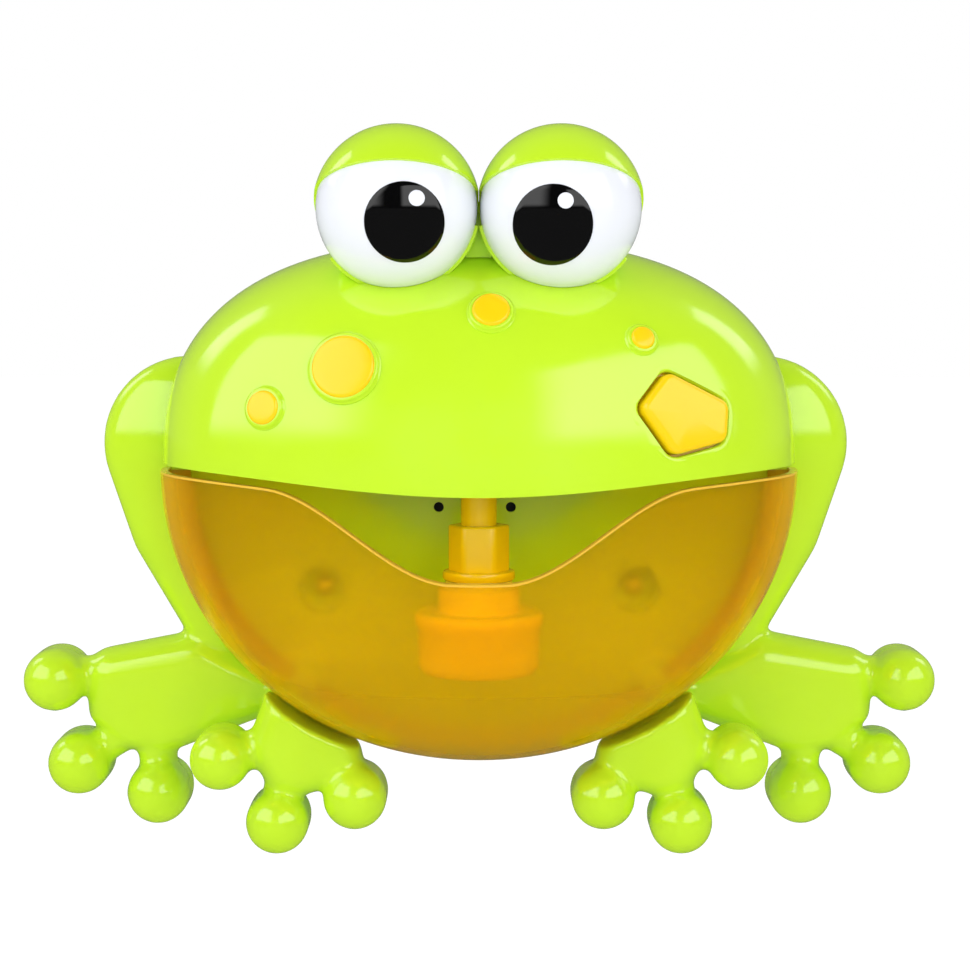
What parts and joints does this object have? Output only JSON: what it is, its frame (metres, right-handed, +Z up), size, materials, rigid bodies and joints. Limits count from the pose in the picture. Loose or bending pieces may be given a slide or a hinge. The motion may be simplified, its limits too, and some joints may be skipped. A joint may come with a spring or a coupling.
{
  "type": "bubble frog bath toy",
  "caption": "Wall-hung frog that blows bubbles: a battery blower sends air down a nozzle into a slide-out translucent bowl mouth, with a push button, hooded eyes, toed legs and suction cups.",
  "frame": {"origin": "in the wall plane (the suction cups' lips), on the frog's middle plane, near the height of the mouth's corners", "axes": "+X to the viewer's right, +Y into the wall, +Z up"},
  "size_m": [0.2754, 0.0971, 0.2108],
  "materials": {
    "green_shell": "glossy lime green",
    "yellow_trim": "satin yellow",
    "orange_bowl": "frosted translucent orange plastic",
    "eye_white": "glossy white",
    "eye_black": "glossy black",
    "dark_plastic": "matt black",
    "clear_rubber": "soft translucent",
    "seal_rubber": "matt dark grey",
    "steel": "plated",
    "circuit_board": "coated board",
    "cell_wrap": "plain blue wrap"
  },
  "bodies": {
    "frog_body": {"rear_shell": "green_shell", "front_shell": "green_shell", "front_leg_left_back": "green_shell", "front_leg_left_front": "green_shell", "front_leg_right_back": "green_shell", "front_leg_right_front": "green_shell", "head_shell": "green_shell", "eye_hood_left": "green_shell", "eye_hood_right": "green_shell", "mouth_roof": "green_shell", "spot_left_small": "yellow_trim", "spot_left_large": "yellow_trim", "spot_middle": "yellow_trim", "spot_right_small": "yellow_trim", "air_duct": "yellow_trim", "nozzle_sleeve": "yellow_trim", "diffuser_cup": "yellow_trim", "diffuser_plate": "yellow_trim", "eye_white_left": "eye_white", "eye_white_right": "eye_white", "eye_glint_left": "eye_white", "eye_glint_right": "eye_white", "pupil_left": "eye_black", "pupil_right": "eye_black", "switch_body": "dark_plastic", "blower_housing": "dark_plastic", "blower_cover": "dark_plastic", "speaker": "dark_plastic", "battery_box": "dark_plastic", "suction_cup_1": "clear_rubber", "suction_cup_2": "clear_rubber", "suction_cup_3": "clear_rubber", "suction_cup_4": "clear_rubber", "motor": "steel", "cell_spring_1": "steel", "cell_spring_2": "steel", "cell_spring_3": "steel", "case_screw_left": "steel", "belly_screw_left": "steel", "head_screw_left": "steel", "leg_screw_left": "steel", "case_screw_right": "steel", "belly_screw_right": "steel", "head_screw_right": "steel", "leg_screw_right": "steel", "circuit_board": "circuit_board", "cell_1": "cell_wrap", "cell_2": "cell_wrap", "cell_3": "cell_wrap"},
    "power_button": {"power_button": "yellow_trim"},
    "switch_plunger": {"switch_plunger": "dark_plastic"},
    "fan_rotor": {"impeller": "yellow_trim", "motor_shaft": "steel"},
    "bowl": {"bowl": "orange_bowl"},
    "battery_door": {"battery_door": "green_shell", "door_gasket": "seal_rubber", "door_screw": "steel"}
  },
  "joints": [
    {"name": "power_button_press", "type": "slide", "parent": "frog_body", "child": "power_button", "axis": [-0.3614, 0.923, -0.1323], "range_m": [0, 0.0015], "stiffness_N_per_m": 400, "springref_m": -0.001},
    {"name": "switch_plunger_press", "type": "slide", "parent": "frog_body", "child": "switch_plunger", "axis": [-0.3614, 0.923, -0.1323], "range_m": [0, 0.0015]},
    {"name": "fan_spin", "type": "hinge", "parent": "frog_body", "child": "fan_rotor", "pos_m": [-0.014, -0.0635, 0.034], "axis": [0, 1, 0], "continuous": true},
    {"name": "bowl_slide", "type": "slide", "parent": "frog_body", "child": "bowl", "axis": [0, -0.9986, -0.0523], "range_m": [0, 0.11]},
    {"name": "battery_door_out", "type": "slide", "parent": "frog_body", "child": "battery_door", "axis": [0, 1, 0], "range_m": [0, 0.02]}
  ],
  "couplings": [
    {"joint": "switch_plunger_press", "follows": "power_button_press", "ratio": 1}
  ]
}
